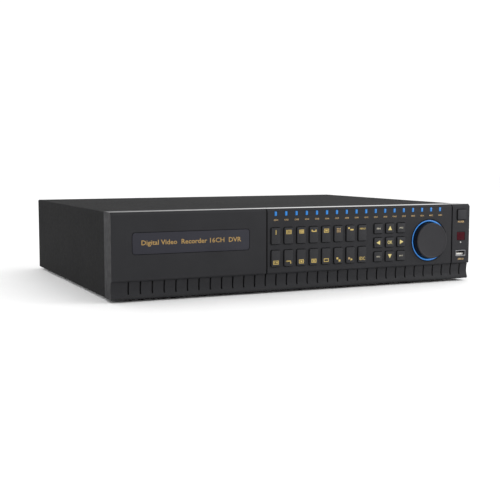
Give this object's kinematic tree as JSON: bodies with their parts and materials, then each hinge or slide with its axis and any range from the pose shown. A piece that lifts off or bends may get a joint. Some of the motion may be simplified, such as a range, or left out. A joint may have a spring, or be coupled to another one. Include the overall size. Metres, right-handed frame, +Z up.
{
  "type": "dvr recorder",
  "caption": "Two-unit-high black desktop video recorder with press keys, a turning jog dial with a lit ring, channel lights, a USB socket, rear connectors, a fan and drives inside.",
  "frame": {"origin": "middle of the whole recorder's footprint, on the surface that its feet stand on", "axes": "+X along the front, to the right as seen from the front; +Y from the front to the rear; +Z up"},
  "size_m": [0.44, 0.3586, 0.0919],
  "materials": {
    "front_abs": "fine satin moulded black plastic",
    "key_plastic": "satin black key caps",
    "powder_coat": "matt black powder coat",
    "steel_sheet": "galvanised steel sheet",
    "light_pipe": "clear plastic lit blue from behind",
    "ir_filter": "dark red infrared filter",
    "clear_lens": "clear indicator lens",
    "plated_metal": "nickel plate",
    "black_plastic": "black plastic",
    "white_plastic": "white connector insulator",
    "green_plastic": "green terminal housing",
    "board": "solder-masked circuit board",
    "cast_aluminium": "bare cast and extruded aluminium",
    "rubber": "soft black rubber"
  },
  "bodies": {
    "recorder": {"front_fascia": "front_abs", "end_panel": "front_abs", "badge_plate": "front_abs", "top_cover": "powder_coat", "base_tray": "steel_sheet", "drive_carrier": "steel_sheet", "power_supply": "steel_sheet", "jog_encoder": "steel_sheet", "light_guide": "light_pipe", "jog_light_ring": "light_pipe", "ir_window": "ir_filter", "indicator_lens": "clear_lens", "usb_shell": "plated_metal", "bnc_block": "plated_metal", "vga_port": "plated_metal", "lan_usb_port": "plated_metal", "phono_block": "black_plastic", "mains_inlet": "black_plastic", "fan_frame": "black_plastic", "usb_tongue": "white_plastic", "terminal_block": "green_plastic", "control_board": "board", "main_board": "board", "hard_drive_1": "cast_aluminium", "hard_drive_2": "cast_aluminium", "heat_sink": "cast_aluminium", "foot_front_left": "rubber", "foot_front_right": "rubber", "foot_rear_left": "rubber", "foot_rear_right": "rubber"},
    "function_key_01": {"function_key_01": "key_plastic"},
    "function_key_02": {"function_key_02": "key_plastic"},
    "function_key_03": {"function_key_03": "key_plastic"},
    "function_key_04": {"function_key_04": "key_plastic"},
    "function_key_05": {"function_key_05": "key_plastic"},
    "function_key_06": {"function_key_06": "key_plastic"},
    "function_key_07": {"function_key_07": "key_plastic"},
    "function_key_08": {"function_key_08": "key_plastic"},
    "function_key_09": {"function_key_09": "key_plastic"},
    "function_key_10": {"function_key_10": "key_plastic"},
    "function_key_11": {"function_key_11": "key_plastic"},
    "function_key_12": {"function_key_12": "key_plastic"},
    "function_key_13": {"function_key_13": "key_plastic"},
    "function_key_14": {"function_key_14": "key_plastic"},
    "function_key_15": {"function_key_15": "key_plastic"},
    "function_key_16": {"function_key_16": "key_plastic"},
    "aux_key_1": {"aux_key_1": "key_plastic"},
    "aux_key_2": {"aux_key_2": "key_plastic"},
    "aux_key_3": {"aux_key_3": "key_plastic"},
    "aux_key_4": {"aux_key_4": "key_plastic"},
    "nav_key_up": {"nav_key_up": "key_plastic"},
    "nav_key_left": {"nav_key_left": "key_plastic"},
    "nav_key_ok": {"nav_key_ok": "key_plastic"},
    "nav_key_right": {"nav_key_right": "key_plastic"},
    "nav_key_down": {"nav_key_down": "key_plastic"},
    "power_button": {"power_button": "key_plastic"},
    "jog": {"jog_wheel": "front_abs", "jog_shaft": "plated_metal"},
    "fan": {"fan_rotor": "black_plastic"},
    "mains_switch": {"mains_rocker": "black_plastic"}
  },
  "joints": [
    {"name": "function_key_01_press", "type": "slide", "parent": "recorder", "child": "function_key_01", "axis": [0, 1, 0], "range_m": [0, 0.0008], "stiffness_N_per_m": 1200},
    {"name": "function_key_02_press", "type": "slide", "parent": "recorder", "child": "function_key_02", "axis": [0, 1, 0], "range_m": [0, 0.0008], "stiffness_N_per_m": 1200},
    {"name": "function_key_03_press", "type": "slide", "parent": "recorder", "child": "function_key_03", "axis": [0, 1, 0], "range_m": [0, 0.0008], "stiffness_N_per_m": 1200},
    {"name": "function_key_04_press", "type": "slide", "parent": "recorder", "child": "function_key_04", "axis": [0, 1, 0], "range_m": [0, 0.0008], "stiffness_N_per_m": 1200},
    {"name": "function_key_05_press", "type": "slide", "parent": "recorder", "child": "function_key_05", "axis": [0, 1, 0], "range_m": [0, 0.0008], "stiffness_N_per_m": 1200},
    {"name": "function_key_06_press", "type": "slide", "parent": "recorder", "child": "function_key_06", "axis": [0, 1, 0], "range_m": [0, 0.0008], "stiffness_N_per_m": 1200},
    {"name": "function_key_07_press", "type": "slide", "parent": "recorder", "child": "function_key_07", "axis": [0, 1, 0], "range_m": [0, 0.0008], "stiffness_N_per_m": 1200},
    {"name": "function_key_08_press", "type": "slide", "parent": "recorder", "child": "function_key_08", "axis": [0, 1, 0], "range_m": [0, 0.0008], "stiffness_N_per_m": 1200},
    {"name": "function_key_09_press", "type": "slide", "parent": "recorder", "child": "function_key_09", "axis": [0, 1, 0], "range_m": [0, 0.0008], "stiffness_N_per_m": 1200},
    {"name": "function_key_10_press", "type": "slide", "parent": "recorder", "child": "function_key_10", "axis": [0, 1, 0], "range_m": [0, 0.0008], "stiffness_N_per_m": 1200},
    {"name": "function_key_11_press", "type": "slide", "parent": "recorder", "child": "function_key_11", "axis": [0, 1, 0], "range_m": [0, 0.0008], "stiffness_N_per_m": 1200},
    {"name": "function_key_12_press", "type": "slide", "parent": "recorder", "child": "function_key_12", "axis": [0, 1, 0], "range_m": [0, 0.0008], "stiffness_N_per_m": 1200},
    {"name": "function_key_13_press", "type": "slide", "parent": "recorder", "child": "function_key_13", "axis": [0, 1, 0], "range_m": [0, 0.0008], "stiffness_N_per_m": 1200},
    {"name": "function_key_14_press", "type": "slide", "parent": "recorder", "child": "function_key_14", "axis": [0, 1, 0], "range_m": [0, 0.0008], "stiffness_N_per_m": 1200},
    {"name": "function_key_15_press", "type": "slide", "parent": "recorder", "child": "function_key_15", "axis": [0, 1, 0], "range_m": [0, 0.0008], "stiffness_N_per_m": 1200},
    {"name": "function_key_16_press", "type": "slide", "parent": "recorder", "child": "function_key_16", "axis": [0, 1, 0], "range_m": [0, 0.0008], "stiffness_N_per_m": 1200},
    {"name": "aux_key_1_press", "type": "slide", "parent": "recorder", "child": "aux_key_1", "axis": [0, 1, 0], "range_m": [0, 0.0008], "stiffness_N_per_m": 1200},
    {"name": "aux_key_2_press", "type": "slide", "parent": "recorder", "child": "aux_key_2", "axis": [0, 1, 0], "range_m": [0, 0.0008], "stiffness_N_per_m": 1200},
    {"name": "aux_key_3_press", "type": "slide", "parent": "recorder", "child": "aux_key_3", "axis": [0, 1, 0], "range_m": [0, 0.0008], "stiffness_N_per_m": 1200},
    {"name": "aux_key_4_press", "type": "slide", "parent": "recorder", "child": "aux_key_4", "axis": [0, 1, 0], "range_m": [0, 0.0008], "stiffness_N_per_m": 1200},
    {"name": "nav_key_up_press", "type": "slide", "parent": "recorder", "child": "nav_key_up", "axis": [0, 1, 0], "range_m": [0, 0.0008], "stiffness_N_per_m": 1200},
    {"name": "nav_key_left_press", "type": "slide", "parent": "recorder", "child": "nav_key_left", "axis": [0, 1, 0], "range_m": [0, 0.0008], "stiffness_N_per_m": 1200},
    {"name": "nav_key_ok_press", "type": "slide", "parent": "recorder", "child": "nav_key_ok", "axis": [0, 1, 0], "range_m": [0, 0.0008], "stiffness_N_per_m": 1200},
    {"name": "nav_key_right_press", "type": "slide", "parent": "recorder", "child": "nav_key_right", "axis": [0, 1, 0], "range_m": [0, 0.0008], "stiffness_N_per_m": 1200},
    {"name": "nav_key_down_press", "type": "slide", "parent": "recorder", "child": "nav_key_down", "axis": [0, 1, 0], "range_m": [0, 0.0008], "stiffness_N_per_m": 1200},
    {"name": "power_button_press", "type": "slide", "parent": "recorder", "child": "power_button", "axis": [0, 1, 0], "range_m": [0, 0.0008], "stiffness_N_per_m": 1200},
    {"name": "jog_turn", "type": "hinge", "parent": "recorder", "child": "jog", "pos_m": [0.1625, -0.17275, 0.0505], "axis": [0, -1, 0], "continuous": true},
    {"name": "fan_spin", "type": "hinge", "parent": "recorder", "child": "fan", "pos_m": [0.104, 0.15345, 0.047], "axis": [0, 1, 0], "continuous": true},
    {"name": "mains_switch_rock", "type": "hinge", "parent": "recorder", "child": "mains_switch", "pos_m": [0.184, 0.16515, 0.0645], "axis": [1, 0, 0], "range_deg": [-18, 0]}
  ]
}
